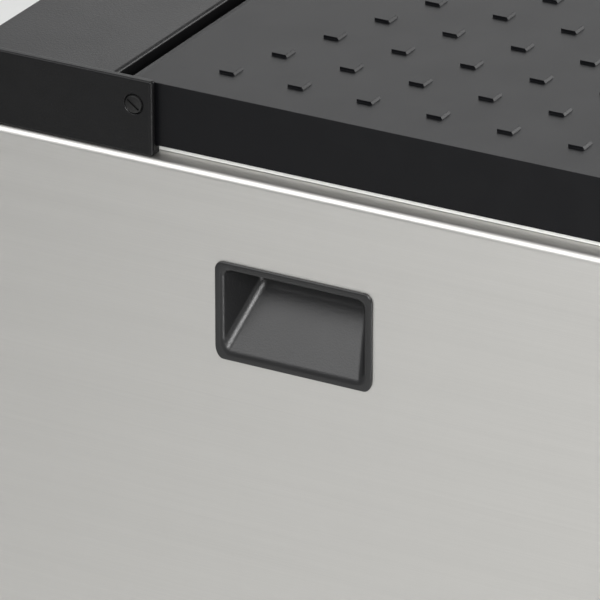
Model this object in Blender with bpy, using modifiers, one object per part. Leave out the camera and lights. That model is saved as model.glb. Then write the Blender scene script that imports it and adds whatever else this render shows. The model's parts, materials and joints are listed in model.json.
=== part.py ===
"""A free-standing household trash compactor, 15 in wide and 24 in deep, with a pull-out drawer.

Metres, +Z up. The origin is at the bottom centre, the drawer faces -Y and the lid hinges at +Y.
"""

import math

import bmesh
import bpy
from mathutils import Matrix, Vector

# Driving dimensions
WIDTH = 0.381
DEPTH = 0.610
HEIGHT = 0.870
GAP = 0.0003
SHEET = 0.0012

# Cabinet
RIM_PROUD = 0.0015
WALL_X = WIDTH / 2 - RIM_PROUD
FACE_Y = -0.265
FACE_T = 0.020
SHELL_FRONT_Y = FACE_Y + FACE_T + GAP
REAR_Y = DEPTH / 2 - 0.0015
SHOULDER_Z = 0.820
BEND_R = 0.003
BASE_Z = 0.036
BASE_T = 0.003
DECK_Z = 0.7715
DECK_T = 0.003
INSIDE_X = WALL_X - SHEET - GAP

# Lid, collar and hinge
LID_X = WALL_X - 0.009
LID_LOW_Z = 0.826
LID_TOP_Z = 0.8678
LID_FRONT_Y = FACE_Y + 0.0035
LID_WALL = 0.0025
LID_EDGE_R = 0.0015
PIVOT_Y = 0.184
PIVOT_Z = 0.853
BARREL_R = LID_TOP_Z - PIVOT_Z
SKIRT_R = PIVOT_Z - LID_LOW_Z
PAD_SIDE = 0.011
PAD_HIGH = 0.0017
PAD_PITCH = 0.048
PAD_ROW = 0.0404
PAD_ROWS = 8
PAD_INSET = 0.033
PAD_REAR_Y = 0.140
PAD_FRONT_Y = LID_FRONT_Y + 0.015
PAD_STAGGER = 0.3
CHEEK_X = WALL_X - BEND_R
CHEEK_T = 0.0055
CHEEK_FRONT_Y = 0.171
SCREW_HEAD_R = 0.0058
SCREW_SLOT_TURN = math.radians(36)
COLLAR_X = WALL_X - 0.016
COLLAR_T = 0.002
COLLAR_TOP_Z = 0.830
COLLAR_REAR_Y = 0.192

# Hand grips
GRIP_Y = 0.070
GRIP_LONG = 0.110
GRIP_TALL = 0.066
GRIP_LOW_Z = 0.6967
GRIP_RIM = 0.006
GRIP_DEEP = 0.030
GRIP_RISE = 0.0342
GRIP_DRAFT = 0.012
GRIP_CORNER_R = 0.008

# Drawer, bin and ram
DRAWER_LOW_Z = 0.075
DRAWER_TOP_Z = 0.645
BIN_X = 0.147
BIN_FRONT_Y = -0.238
BIN_REAR_Y = 0.158
BIN_LOW_Z = 0.0706
BIN_TOP_Z = 0.480
BIN_WALL = 0.0025
BIN_TAPER = 0.006
RAM_X = 0.135
RAM_Y = -0.040
RAM_HALF_Y = 0.184
RAM_LOW_Z = 0.495
BEAM_LOW_Z = 0.728
BEAM_T = 0.020
POWER_SCREW_X = 0.1665
POWER_SCREW_R = 0.008
NUT_R = 0.0135
SPROCKET_R = 0.0150
SPROCKET_Z = 0.022
SPROCKET_T = 0.008
MOTOR_Y = 0.240
MOTOR_R = 0.045
TRACK_X = 0.100
REAR_ROLLER_R = 0.010
REAR_ROLLER_Y = 0.250
REAR_ROLLER_Z = 0.0523
FRONT_ROLLER_R = 0.012
FRONT_ROLLER_Y = -0.2155
FRONT_ROLLER_Z = 0.056
FRONT_ROLLER_X = 0.136
PAN_Z = 0.0683
PAN_X = 0.150

# Controls and toe pedal
CONTROL_Z = 0.745
BUTTON_HALF = (0.014, 0.009)
START_X = -0.020
STOP_X = 0.030
KEY_X = -0.085
LAMP_X = 0.080
PEDAL_Y = -0.2425
PEDAL_Z = 0.0530
TOE_X = 0.152

ALONG_X = Matrix(((0, 0, 1, 0), (1, 0, 0, 0), (0, 1, 0, 0), (0, 0, 0, 1)))
ALONG_Y = Matrix(((0, 1, 0, 0), (0, 0, 1, 0), (1, 0, 0, 0), (0, 0, 0, 1)))
ALONG_Z = Matrix.Identity(4)


def clear_scene():
    for old in list(bpy.data.objects):
        bpy.data.objects.remove(old)


def new_collection(name):
    made = bpy.data.collections.new(name)
    bpy.context.scene.collection.children.link(made)
    return made


def new_material(name, colour, roughness, metallic=0.0):
    made = bpy.data.materials.new(name)
    made.use_nodes = True
    shader = made.node_tree.nodes["Principled BSDF"]
    shader.inputs["Base Color"].default_value = (*colour, 1.0)
    shader.inputs["Roughness"].default_value = roughness
    shader.inputs["Metallic"].default_value = metallic
    return made


clear_scene()
parts = new_collection("trash_compactor")
cutters = new_collection("cutters")

STEEL = new_material("brushed_steel", (0.62, 0.61, 0.58), 0.34, 1.0)
ZINC = new_material("zinc_steel", (0.55, 0.56, 0.57), 0.42, 1.0)
PAINTED = new_material("painted_steel", (0.16, 0.16, 0.17), 0.5)
BLACK = new_material("black_plastic", (0.02, 0.02, 0.021), 0.42)
GREY = new_material("grey_plastic", (0.30, 0.31, 0.32), 0.5)
WHITE = new_material("white_plastic", (0.80, 0.80, 0.78), 0.4)
RED = new_material("red_plastic", (0.55, 0.04, 0.03), 0.35)
RUBBER = new_material("rubber", (0.03, 0.03, 0.03), 0.8)
BRONZE = new_material("bronze", (0.55, 0.38, 0.18), 0.4, 1.0)


def add_object(name, mesh, material, origin=(0, 0, 0)):
    """Links a mesh modelled in world space, with the object's origin moved to the given point."""
    mesh.transform(Matrix.Translation(-Vector(origin)))
    obj = bpy.data.objects.new(name, mesh)
    obj.location = origin
    obj.data.materials.clear()
    obj.data.materials.append(material)
    parts.objects.link(obj)
    return obj


def shade(obj):
    obj.data.shade_smooth()
    obj.data.set_sharp_from_angle(angle=math.radians(35))
    return obj


def as_cutter(obj):
    parts.objects.unlink(obj)
    cutters.objects.link(obj)
    obj.hide_render = True
    obj.display_type = "WIRE"
    return obj


def bevel(obj, width, segments=1):
    added = obj.modifiers.new("rounded_edges", "BEVEL")
    added.width = width
    added.segments = segments
    added.limit_method = "ANGLE"
    added.angle_limit = math.radians(40)
    return obj


def combine(obj, operation, *others):
    for other in others:
        added = obj.modifiers.new(operation.lower(), "BOOLEAN")
        added.operation = operation
        added.object = as_cutter(other)
    return obj


def cut(obj, *others):
    return combine(obj, "DIFFERENCE", *others)


def join(obj, *others):
    return combine(obj, "UNION", *others)


def box(name, low, high, material, edge=0.0, origin=(0, 0, 0)):
    low, high = Vector(low), Vector(high)
    shape = bmesh.new()
    bmesh.ops.create_cube(shape, size=1.0)
    bmesh.ops.scale(shape, vec=high - low, verts=shape.verts)
    bmesh.ops.translate(shape, vec=(low + high) / 2, verts=shape.verts)
    mesh = bpy.data.meshes.new(name)
    shape.to_mesh(mesh)
    shape.free()
    made = add_object(name, mesh, material, origin)
    return bevel(made, edge) if edge else made


def tapered(name, low_face, high_face, low_z, high_z, material):
    """A block between two horizontal rectangles, each given as its lowest and highest (x, y)."""
    shape = bmesh.new()
    bmesh.ops.create_cube(shape, size=2.0)
    for vertex in shape.verts:
        face, z = (high_face, high_z) if vertex.co.z > 0 else (low_face, low_z)
        x = face[1][0] if vertex.co.x > 0 else face[0][0]
        y = face[1][1] if vertex.co.y > 0 else face[0][1]
        vertex.co = (x, y, z)
    mesh = bpy.data.meshes.new(name)
    shape.to_mesh(mesh)
    shape.free()
    return add_object(name, mesh, material)


def cylinder(name, placing, centre, radius, start, end, material, sides=32, origin=(0, 0, 0)):
    """A cylinder along one axis: centre is its place across the axis, start and end are along it."""
    shape = bmesh.new()
    bmesh.ops.create_cone(
        shape, cap_ends=True, segments=sides, radius1=radius, radius2=radius, depth=end - start
    )
    middle = Vector((centre[0], centre[1], (start + end) / 2))
    bmesh.ops.translate(shape, vec=middle, verts=shape.verts)
    mesh = bpy.data.meshes.new(name)
    shape.to_mesh(mesh)
    shape.free()
    mesh.transform(placing)
    return shade(add_object(name, mesh, material, origin))


def outline_solid(name, placing, outlines, start, end, material, origin=(0, 0, 0)):
    """A flat outline with any holes, filled and given its thickness from start to end."""
    curve = bpy.data.curves.new(name, "CURVE")
    curve.dimensions = "2D"
    curve.fill_mode = "BOTH"
    curve.extrude = (end - start) / 2
    for points in outlines:
        spline = curve.splines.new("POLY")
        spline.points.add(len(points) - 1)
        for point, (u, v) in zip(spline.points, points):
            point.co = (u, v, 0, 1)
        spline.use_cyclic_u = True
    guide = bpy.data.objects.new(name + "_guide", curve)
    guide.matrix_world = placing @ Matrix.Translation((0, 0, (start + end) / 2))
    parts.objects.link(guide)
    bpy.context.view_layer.update()
    graph = bpy.context.evaluated_depsgraph_get()
    mesh = bpy.data.meshes.new_from_object(guide.evaluated_get(graph))
    mesh.transform(guide.matrix_world)
    bpy.data.objects.remove(guide)
    shape = bmesh.new()
    shape.from_mesh(mesh)
    bmesh.ops.remove_doubles(shape, verts=shape.verts, dist=1e-6)
    bmesh.ops.recalc_face_normals(shape, faces=shape.faces)
    shape.to_mesh(mesh)
    shape.free()
    mesh.name = name
    return shade(add_object(name, mesh, material, origin))


def turned(name, profile, centre, material, sides=24):
    """A solid of revolution about a vertical axis; the profile runs down its outer side."""
    mesh = bpy.data.meshes.new(name)
    points = [(radius, 0, z) for radius, z in profile]
    mesh.from_pydata(points, [(i, i + 1) for i in range(len(points) - 1)], [])
    obj = bpy.data.objects.new(name, mesh)
    obj.location = (*centre, 0)
    mesh.materials.append(material)
    parts.objects.link(obj)
    screw = obj.modifiers.new("turn", "SCREW")
    screw.steps = sides
    screw.render_steps = sides
    screw.use_merge_vertices = True
    screw.merge_threshold = 0.0001
    screw.use_smooth_shade = False
    return obj


def arc(centre, radius, first, last, steps):
    angles = [math.radians(first + (last - first) * i / steps) for i in range(steps + 1)]
    return [(centre[0] + radius * math.cos(a), centre[1] + radius * math.sin(a)) for a in angles]


def rounded(low, high, radius, steps=4):
    """A rectangle with round corners, anticlockwise."""
    (u0, v0), (u1, v1) = low, high
    corners = [(u1, v1, 0), (u0, v1, 90), (u0, v0, 180), (u1, v0, 270)]
    points = []
    for u, v, first in corners:
        centre = (u - math.copysign(radius, u - u0 - 1e-9), v - math.copysign(radius, v - v0 - 1e-9))
        points += arc(centre, radius, first, first + 90, steps)
    return points


def circle(centre, radius, steps=24):
    return arc(centre, radius, 0, 360 - 360 / steps, steps - 1)


def channel(low, high, wall):
    """A C-shaped outline that is open towards -u."""
    (u0, v0), (u1, v1) = low, high
    back = u1 - wall
    return [(u0, v0), (u1, v0), (u1, v1), (u0, v1), (u0, v1 - wall), (back, v1 - wall),
            (back, v0 + wall), (u0, v0 + wall)]


# Cabinet shell


def side_panel(name, side):
    """A steel wall that bends inwards over the shoulder and stops under the collar."""
    bend = (SHOULDER_Z - BEND_R, WALL_X - BEND_R)
    inner_r = BEND_R - SHEET
    outline = [(BASE_Z, WALL_X - SHEET), (BASE_Z, WALL_X)]
    outline += arc(bend, BEND_R, 90, 0, 5)
    outline += [(SHOULDER_Z, COLLAR_X - COLLAR_T), (SHOULDER_Z - SHEET, COLLAR_X - COLLAR_T)]
    outline += arc(bend, inner_r, 0, 90, 5)
    outline = [(z, side * x) for z, x in outline]
    wall = outline_solid(
        name, ALONG_Y, [outline], SHELL_FRONT_Y, REAR_Y - SHEET - GAP, STEEL
    )
    hole = rounded(
        (GRIP_Y - GRIP_LONG / 2 + 0.003, GRIP_LOW_Z + 0.003),
        (GRIP_Y + GRIP_LONG / 2 - 0.003, GRIP_LOW_Z + GRIP_TALL - 0.003),
        GRIP_CORNER_R - 0.003,
    )
    ends = sorted((side * (WALL_X - 0.01), side * (WALL_X + 0.01)))
    return cut(wall, outline_solid(name + "_hole", ALONG_X, [hole], *ends, STEEL))


def grip_cup(name, side):
    """A moulded finger recess: a rim on the wall, a floor that slopes up and inwards, and a deep back."""
    y0, y1 = GRIP_Y - GRIP_LONG / 2, GRIP_Y + GRIP_LONG / 2
    z0, z1 = GRIP_LOW_Z, GRIP_LOW_Z + GRIP_TALL
    rim = rounded((y0, z0), (y1, z1), GRIP_CORNER_R)
    shell = rounded((y0 + 0.0034, z0 + 0.0034), (y1 - 0.0034, z1 - 0.0034), GRIP_CORNER_R - 0.0034)
    face, wall = WALL_X + RIM_PROUD, WALL_X + GAP
    deep = WALL_X - GRIP_DEEP - 0.002
    cup = outline_solid(name, ALONG_X, [rim], *sorted((side * face, side * wall)), BLACK)
    body = outline_solid(
        name + "_body", ALONG_X, [shell], *sorted((side * (face - 0.0002), side * deep)), BLACK
    )
    return cut(join(cup, body), grip_cavity(name + "_cavity", side, z0, z1))


def grip_cavity(name, side, z0, z1):
    """The hollow of a grip, wide at the wall and drawn in towards its back."""
    half = GRIP_LONG / 2 - GRIP_RIM
    mouth_x, back_x = WALL_X + 0.004, WALL_X - GRIP_DEEP
    slope = GRIP_RISE / GRIP_DEEP
    shape = bmesh.new()
    bmesh.ops.create_cube(shape, size=2.0)
    for vertex in shape.verts:
        outside = vertex.co.x > 0
        across = half if outside else half - GRIP_DRAFT
        floor = z0 + GRIP_RIM + (-slope * 0.004 if outside else GRIP_RISE)
        roof = z1 - GRIP_RIM - (0 if outside else 0.003)
        vertex.co = (
            side * (mouth_x if outside else back_x),
            GRIP_Y + math.copysign(across, vertex.co.y),
            roof if vertex.co.z > 0 else floor,
        )
    if side < 0:
        bmesh.ops.reverse_faces(shape, faces=shape.faces)
    mesh = bpy.data.meshes.new(name)
    shape.to_mesh(mesh)
    shape.free()
    return bevel(add_object(name, mesh, BLACK), 0.003, 2)


def make_shell():
    for name, side in (("left", -1), ("right", 1)):
        side_panel(name + "_side_panel", side)
        grip_cup(name + "_grip_cup", side)
    rear = box(
        "rear_panel", (-INSIDE_X, REAR_Y - SHEET, BASE_Z), (INSIDE_X, REAR_Y, SHOULDER_Z - GAP), ZINC
    )
    for row in range(6):
        z = 0.56 + 0.028 * row
        slot = rounded((z, -0.09), (z + 0.007, 0.09), 0.003, 2)
        cut(rear, outline_solid(f"rear_slot_{row}", ALONG_Y, [slot], REAR_Y - 0.01, REAR_Y + 0.01, ZINC))
    opening = rounded((0.090, 0.100), (0.122, 0.150), 0.002, 2)
    cut(rear, outline_solid("inlet_hole", ALONG_Y, [opening], REAR_Y - 0.01, REAR_Y + 0.01, ZINC))
    power_inlet()


def power_inlet():
    """A mains inlet let into the rear panel: a flange outside and a socket behind it."""
    flange = rounded((0.084, 0.094), (0.128, 0.156), 0.004, 2)
    shell = rounded((0.0903, 0.1003), (0.1217, 0.1497), 0.002, 2)
    hollow = rounded((0.0945, 0.111), (0.1175, 0.139), 0.004, 2)
    inlet = outline_solid("power_inlet", ALONG_Y, [flange], REAR_Y + GAP, DEPTH / 2, BLACK)
    join(inlet, outline_solid("inlet_body", ALONG_Y, [shell], REAR_Y - 0.02, DEPTH / 2 - 0.0002, BLACK))
    cut(inlet, outline_solid("inlet_hollow", ALONG_Y, [hollow], REAR_Y - 0.016, DEPTH / 2 + 0.01, BLACK))
    pins = [
        cylinder(f"inlet_pin_{i}", ALONG_Y, (0.106, x), 0.002, REAR_Y - 0.018, REAR_Y - 0.008, BLACK, 8)
        for i, x in enumerate((0.118, 0.125, 0.132))
    ]
    join(inlet, *pins)


# Frame


def make_frame():
    base = box(
        "base_plate",
        (-INSIDE_X, FACE_Y + 0.014, BASE_Z),
        (INSIDE_X, REAR_Y - 0.002, BASE_Z + BASE_T),
        PAINTED,
    )
    deck = box(
        "top_deck",
        (-INSIDE_X, SHELL_FRONT_Y + 0.001, DECK_Z),
        (INSIDE_X, REAR_Y - 0.002, DECK_Z + DECK_T),
        PAINTED,
    )
    places = [(-POWER_SCREW_X, RAM_Y), (POWER_SCREW_X, RAM_Y), (0, MOTOR_Y)]
    for i, place in enumerate(places):
        cut(base, cylinder(f"base_hole_{i}", ALONG_Z, place, 0.0095, 0.0, 0.1, PAINTED, 24))
    for i, place in enumerate(places[:2]):
        cut(deck, cylinder(f"deck_hole_{i}", ALONG_Z, place, 0.0095, 0.7, 0.8, PAINTED, 24))
    for side, sign in (("left", -1), ("right", 1)):
        upright(f"{side}_front_upright", sign, SHELL_FRONT_Y + 0.006)
        upright(f"{side}_rear_upright", sign, 0.171)
        ring = [circle((sign * POWER_SCREW_X, RAM_Y), 0.0145), circle((sign * POWER_SCREW_X, RAM_Y), 0.0086)]
        outline_solid(f"{side}_upper_bearing", ALONG_Z, ring, DECK_Z - 0.014, DECK_Z - GAP, BRONZE)
    for name, x, y in (
        ("front_left_foot", -0.160, -0.205),
        ("front_right_foot", 0.160, -0.205),
        ("rear_left_foot", -0.160, 0.275),
        ("rear_right_foot", 0.160, 0.275),
    ):
        foot = [(0, BASE_Z - GAP), (0.005, BASE_Z - GAP), (0.005, 0.014), (0.016, 0.010), (0.018, 0.002),
                (0.017, 0.0), (0, 0.0)]
        turned(name, foot, (x, y), RUBBER)


def upright(name, sign, y):
    """A folded steel post between the base and the top deck."""
    outline = channel((0.157, y), (INSIDE_X - 0.0015, y + 0.026), 0.0016)
    outline = [(sign * x, y) for x, y in outline]
    return outline_solid(name, ALONG_Z, [outline], BASE_Z + BASE_T + GAP, DECK_Z - GAP, PAINTED)


def make_front():
    """The console over the drawer, with its buttons, lamp and key in their holes."""
    console = box(
        "console_panel",
        (-WALL_X, FACE_Y, DRAWER_TOP_Z + 0.005),
        (WALL_X, FACE_Y + FACE_T, SHOULDER_Z - GAP),
        BLACK,
        0.0025,
    )
    z = CONTROL_Z
    for name, x, half in (("start", START_X, BUTTON_HALF), ("stop", STOP_X, BUTTON_HALF)):
        across, tall = half[0] + 0.0005, half[1] + 0.0005
        hole = rounded((z - tall, x - across), (z + tall, x + across), 0.002, 2)
        cut(console, outline_solid(name + "_hole", ALONG_Y, [hole], FACE_Y - 0.01, FACE_Y + 0.03, BLACK))
        cap = rounded((z - half[1], x - half[0]), (z + half[1], x + half[0]), 0.002, 2)
        colour = WHITE if name == "start" else RED
        button = outline_solid(name + "_button", ALONG_Y, [cap], FACE_Y - 0.003, FACE_Y + 0.016, colour)
        bevel(button, 0.0008)
    key_hole = cylinder("key_hole", ALONG_Y, (z, KEY_X), 0.0135, FACE_Y - 0.01, FACE_Y + 0.03, BLACK)
    lamp_hole = cylinder("lamp_hole", ALONG_Y, (z, LAMP_X), 0.0045, FACE_Y - 0.01, FACE_Y + 0.03, BLACK, 16)
    cut(console, key_hole, lamp_hole)
    lamp = cylinder("indicator_lamp", ALONG_Y, (z, LAMP_X), 0.0042, FACE_Y - 0.002, FACE_Y + 0.016, RED, 16)
    bevel(lamp, 0.001)
    place = (KEY_X, FACE_Y, z)
    knob = cylinder("key_knob", ALONG_Y, (z, KEY_X), 0.013, FACE_Y - 0.004, FACE_Y + 0.016, ZINC, 32, place)
    bevel(knob, 0.001)
    bow_low, bow_high = (KEY_X - 0.002, FACE_Y - 0.018, z - 0.010), (KEY_X + 0.002, FACE_Y - 0.003, z + 0.010)
    join(knob, box("key_bow", bow_low, bow_high, ZINC))
    behind = FACE_Y + FACE_T
    box("control_box", (-0.100, behind + GAP, 0.690), (0.100, behind + 0.011, 0.760), GREY, 0.002)


# Lid and its hinge


def make_lid():
    profile = [(LID_FRONT_Y, LID_LOW_Z), (PIVOT_Y, LID_LOW_Z)]
    reach = math.degrees(math.asin(BARREL_R / SKIRT_R))
    profile += arc((PIVOT_Y, PIVOT_Z), SKIRT_R, -90, -90 + reach, 4)[1:]
    profile += arc((PIVOT_Y, PIVOT_Z), BARREL_R, 0, 90, 8)
    profile += [(LID_FRONT_Y, LID_TOP_Z)]
    pivot = (0, PIVOT_Y, PIVOT_Z)
    lid = outline_solid("lid_shell", ALONG_X, [profile], -LID_X, LID_X, BLACK, pivot)
    bevel(lid, LID_EDGE_R, 2)
    inner, under = LID_X - LID_WALL, LID_TOP_Z - LID_WALL
    cut(
        lid,
        box("lid_hollow", (-inner, LID_FRONT_Y + LID_WALL, 0.80), (inner, 0.168, under), BLACK),
        box("lid_rear_gap", (-inner, 0.150, 0.80), (inner, 0.250, PIVOT_Z - BARREL_R + 0.0003), BLACK),
        cylinder("pivot_bore", ALONG_X, (PIVOT_Y, PIVOT_Z), 0.0033, -0.2, 0.2, BLACK, 16),
    )
    join(lid, lid_pads())
    liner = box("lid_liner", (-0.170, -0.2495, 0.8345), (0.170, 0.160, 0.8375), GREY, 0.001, pivot)
    for y in (-0.15, 0.05):
        join(liner, box(f"liner_rib_{y}", (-0.15, y, 0.837), (0.15, y + 0.004, under - GAP), GREY))


def lid_pads():
    """Small raised squares, each row set back from the last, as one mesh of separate blocks."""
    shape = bmesh.new()
    for row in range(PAD_ROWS):
        x = -LID_X + PAD_INSET + PAD_SIDE / 2 + row * PAD_ROW
        y = PAD_REAR_Y - PAD_PITCH * (row * PAD_STAGGER % 1)
        while y > PAD_FRONT_Y:
            made = bmesh.ops.create_cube(shape, size=1.0)["verts"]
            bmesh.ops.scale(shape, vec=(PAD_SIDE, PAD_SIDE, PAD_HIGH * 2), verts=made)
            bmesh.ops.translate(shape, vec=(x, y, LID_TOP_Z), verts=made)
            y -= PAD_PITCH
    mesh = bpy.data.meshes.new("lid_pads")
    shape.to_mesh(mesh)
    shape.free()
    return add_object("lid_pads", mesh, BLACK)


def make_hinge():
    for name, side in (("left", -1), ("right", 1)):
        cheek(name + "_hinge_cheek", side)
        hinge_screw(name + "_hinge_screw", side)
    x, wall = CHEEK_X - CHEEK_T - GAP, 0.003
    front, back, low = PIVOT_Y + BARREL_R + 0.0025, DEPTH / 2, SHOULDER_Z + 0.0056
    rail = box("rear_rail", (-x, front, low), (x, back, LID_TOP_Z), BLACK, 0.0015)
    hollow = box(
        "rail_hollow",
        (-x + wall, front + wall, 0.80),
        (x - wall, back - wall, LID_TOP_Z - wall),
        BLACK,
    )
    cut(rail, hollow)


def cheek(name, side):
    """A plate outside the lid, on a foot that reaches in under the lid's edge."""
    low, high = SHOULDER_Z + GAP, HEIGHT
    outer, inner, foot = CHEEK_X, CHEEK_X - CHEEK_T, CHEEK_X - 0.010
    step = low + 0.005
    section = [(low, outer), (high, outer), (high, inner), (step, inner), (step, foot), (low, foot)]
    section = [(z, side * x) for z, x in section]
    made = outline_solid(name, ALONG_Y, [section], CHEEK_FRONT_Y, DEPTH / 2, BLACK)
    bevel(made, 0.0015, 2)
    ends = sorted((side * 0.15, side * 0.25))
    sink = sorted((side * (CHEEK_X - 0.0012), side * 0.25))
    return cut(
        made,
        cylinder(name + "_bore", ALONG_X, (PIVOT_Y, PIVOT_Z), 0.0033, *ends, BLACK, 16),
        cylinder(name + "_sink", ALONG_X, (PIVOT_Y, PIVOT_Z), SCREW_HEAD_R + 0.0006, *sink, BLACK, 32),
    )


def hinge_screw(name, side):
    """A slotted round-head screw that is the lid's pivot."""
    head = sorted((side * (CHEEK_X - 0.0012 + GAP), side * (CHEEK_X + 0.0008)))
    shank = sorted((side * (CHEEK_X - 0.0002), side * (LID_X - 0.012)))
    made = cylinder(name, ALONG_X, (PIVOT_Y, PIVOT_Z), SCREW_HEAD_R, *head, BLACK, 32)
    join(made, cylinder(name + "_shank", ALONG_X, (PIVOT_Y, PIVOT_Z), 0.003, *shank, BLACK, 16))
    slot = box(name + "_slot", (-0.2, -0.0007, -0.02), (0.2, 0.0007, 0.02), BLACK)
    turn = Matrix.Rotation(side * SCREW_SLOT_TURN, 4, "X")
    slot.matrix_world = Matrix.Translation((side * (CHEEK_X + 0.2002), PIVOT_Y, PIVOT_Z)) @ turn
    return cut(made, slot)


def make_bay():
    """The collar under the lid, and the shallow tray inside it."""
    front = FACE_Y + 0.0165
    outer = [(-COLLAR_X, front), (COLLAR_X, COLLAR_REAR_Y)]
    inner = [(-COLLAR_X + COLLAR_T, front + COLLAR_T), (COLLAR_X - COLLAR_T, COLLAR_REAR_Y - COLLAR_T)]
    ring = [rounded(*outer, 0.004), rounded(*inner, 0.002)]
    outline_solid("top_collar", ALONG_Z, ring, SHOULDER_Z + GAP, COLLAR_TOP_Z, WHITE)
    x, y0, y1 = COLLAR_X - COLLAR_T - 0.0004, SHELL_FRONT_Y + 0.001, 0.168
    low, wall = DECK_Z + DECK_T + GAP, 0.002
    rim = rounded((-x, y0), (x, y1), 0.004)
    inside = rounded((-x + wall, y0 + wall), (x - wall, y1 - wall), 0.002)
    tray = outline_solid("bay_tray", ALONG_Z, [rim], low, COLLAR_TOP_Z, GREY)
    cut(tray, outline_solid("tray_hollow", ALONG_Z, [inside], low + wall, 0.9, GREY))
    seal = rounded((-x + 0.003, y0 + 0.003), (x - 0.003, y1 - 0.003), 0.002)
    outline_solid("lid_gasket", ALONG_Z, [rim, seal], COLLAR_TOP_Z + GAP, COLLAR_TOP_Z + 0.0028, RUBBER)
    floor = low + wall + GAP
    block = box("charcoal_filter", (0.015, -0.090, floor), (0.155, 0.110, floor + 0.022), BLACK, 0.002)
    for i in range(5):
        y = -0.070 + i * 0.035
        slot = box(f"filter_slot_{i}", (0.030, y, floor + 0.015), (0.140, y + 0.014, floor + 0.03), BLACK)
        cut(block, slot)
    roll_z = floor + 0.0225
    cylinder("bag_roll", ALONG_X, (-0.195, roll_z), 0.0225, -0.150, 0.150, WHITE, 24)


# Drawer


def make_drawer():
    low, high = (-WALL_X, FACE_Y, DRAWER_LOW_Z), (WALL_X, FACE_Y + FACE_T, DRAWER_TOP_Z)
    skin = box("drawer_front", low, high, STEEL, 0.0009)
    hollow_low = (low[0] + SHEET, low[1] + SHEET, low[2] + SHEET)
    hollow_high = (high[0] - SHEET, high[1] + 0.1, high[2] - SHEET)
    cut(skin, box("skin_hollow", hollow_low, hollow_high, STEEL))
    inner = SHEET + GAP
    core_low = (low[0] + inner, low[1] + inner, low[2] + inner)
    core_high = (high[0] - inner, high[1] - 0.001, high[2] - inner)
    box("drawer_core", core_low, core_high, GREY, 0.002)
    drawer_handle()
    drawer_frame()
    bin_bucket()


def drawer_handle():
    """A bowed bar on the drawer's face."""
    bar_y, radius, half, bend = -0.298, 0.007, 0.125, 0.016
    path = [(-half, FACE_Y - GAP)]
    path += arc((-half + bend, bar_y + bend), bend, 180, 270, 5)
    path += arc((half - bend, bar_y + bend), bend, 270, 360, 5)
    path += [(half, FACE_Y - GAP)]
    curve = bpy.data.curves.new("drawer_handle", "CURVE")
    curve.dimensions = "3D"
    curve.bevel_depth = radius
    curve.bevel_resolution = 3
    curve.use_fill_caps = True
    spline = curve.splines.new("POLY")
    spline.points.add(len(path) - 1)
    for point, (x, y) in zip(spline.points, path):
        point.co = (x, y, 0.600, 1)
    curve.materials.append(STEEL)
    parts.objects.link(bpy.data.objects.new("drawer_handle", curve))


def drawer_frame():
    """The pan that carries the bin, the plate behind the front, and the arms of the rear rollers.

    The arms reach far back, so that the rollers are still under the tracks' lips with the drawer out.
    """
    front, back, wall = FACE_Y + FACE_T + GAP, 0.165, 0.0015
    pan = box("drawer_frame", (-PAN_X, front, PAN_Z), (PAN_X, back, PAN_Z + 0.022), ZINC)
    hollow_low, hollow_high = (-PAN_X + wall, front + wall, PAN_Z + 0.002), (PAN_X - wall, back - wall, 0.2)
    cut(pan, box("pan_hollow", hollow_low, hollow_high, ZINC))
    join(pan, box("front_plate", (-PAN_X, front, PAN_Z + 0.001), (PAN_X, front + wall, BIN_TOP_Z), ZINC))
    for side in (-1, 1):
        x = sorted((side * (TRACK_X + 0.004), side * (TRACK_X + 0.006)))
        pin = sorted((side * (TRACK_X + 0.005), side * (TRACK_X + 0.0170)))
        first, last = REAR_ROLLER_Y - 0.0175, REAR_ROLLER_Y + 0.0175
        arm = box(f"arm_{side}", (x[0], back - 0.005, PAN_Z), (x[1], last, PAN_Z + 0.018), ZINC)
        hanger = box(f"hanger_{side}", (x[0], first, 0.046), (x[1], last, PAN_Z + 0.001), ZINC)
        axle = cylinder(f"hanger_pin_{side}", ALONG_X, (REAR_ROLLER_Y, REAR_ROLLER_Z), 0.003, *pin, ZINC, 12)
        join(pan, arm, hanger, axle)


def bin_bucket():
    low = ((-BIN_X + BIN_TAPER, BIN_FRONT_Y + BIN_TAPER), (BIN_X - BIN_TAPER, BIN_REAR_Y - BIN_TAPER))
    high = ((-BIN_X, BIN_FRONT_Y), (BIN_X, BIN_REAR_Y))
    bucket = tapered("bin_bucket", low, high, BIN_LOW_Z, BIN_TOP_Z, GREY)
    wall = BIN_WALL
    low = ((low[0][0] + wall, low[0][1] + wall), (low[1][0] - wall, low[1][1] - wall))
    high = ((high[0][0] + wall, high[0][1] + wall), (high[1][0] - wall, high[1][1] - wall))
    cut(bucket, tapered("bin_hollow", low, high, BIN_LOW_Z + wall, BIN_TOP_Z + 0.003, GREY))


def make_rollers():
    for name, side in (("left", -1), ("right", 1)):
        track(name + "_drawer_track", side)
        ends = sorted((side * (TRACK_X + 0.0065), side * (TRACK_X + 0.0165)))
        roller(f"{name}_rear_roller", (REAR_ROLLER_Y, REAR_ROLLER_Z), REAR_ROLLER_R, ends)
        ends = sorted((side * (FRONT_ROLLER_X - 0.005), side * (FRONT_ROLLER_X + 0.005)))
        roller(f"{name}_front_roller", (FRONT_ROLLER_Y, FRONT_ROLLER_Z), FRONT_ROLLER_R, ends)


def roller(name, centre, radius, ends):
    origin = (sum(ends) / 2, *centre)
    ring = [circle(centre, radius, 24), circle(centre, 0.0034, 16)]
    return outline_solid(name, ALONG_X, ring, *ends, WHITE, origin)


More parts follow.
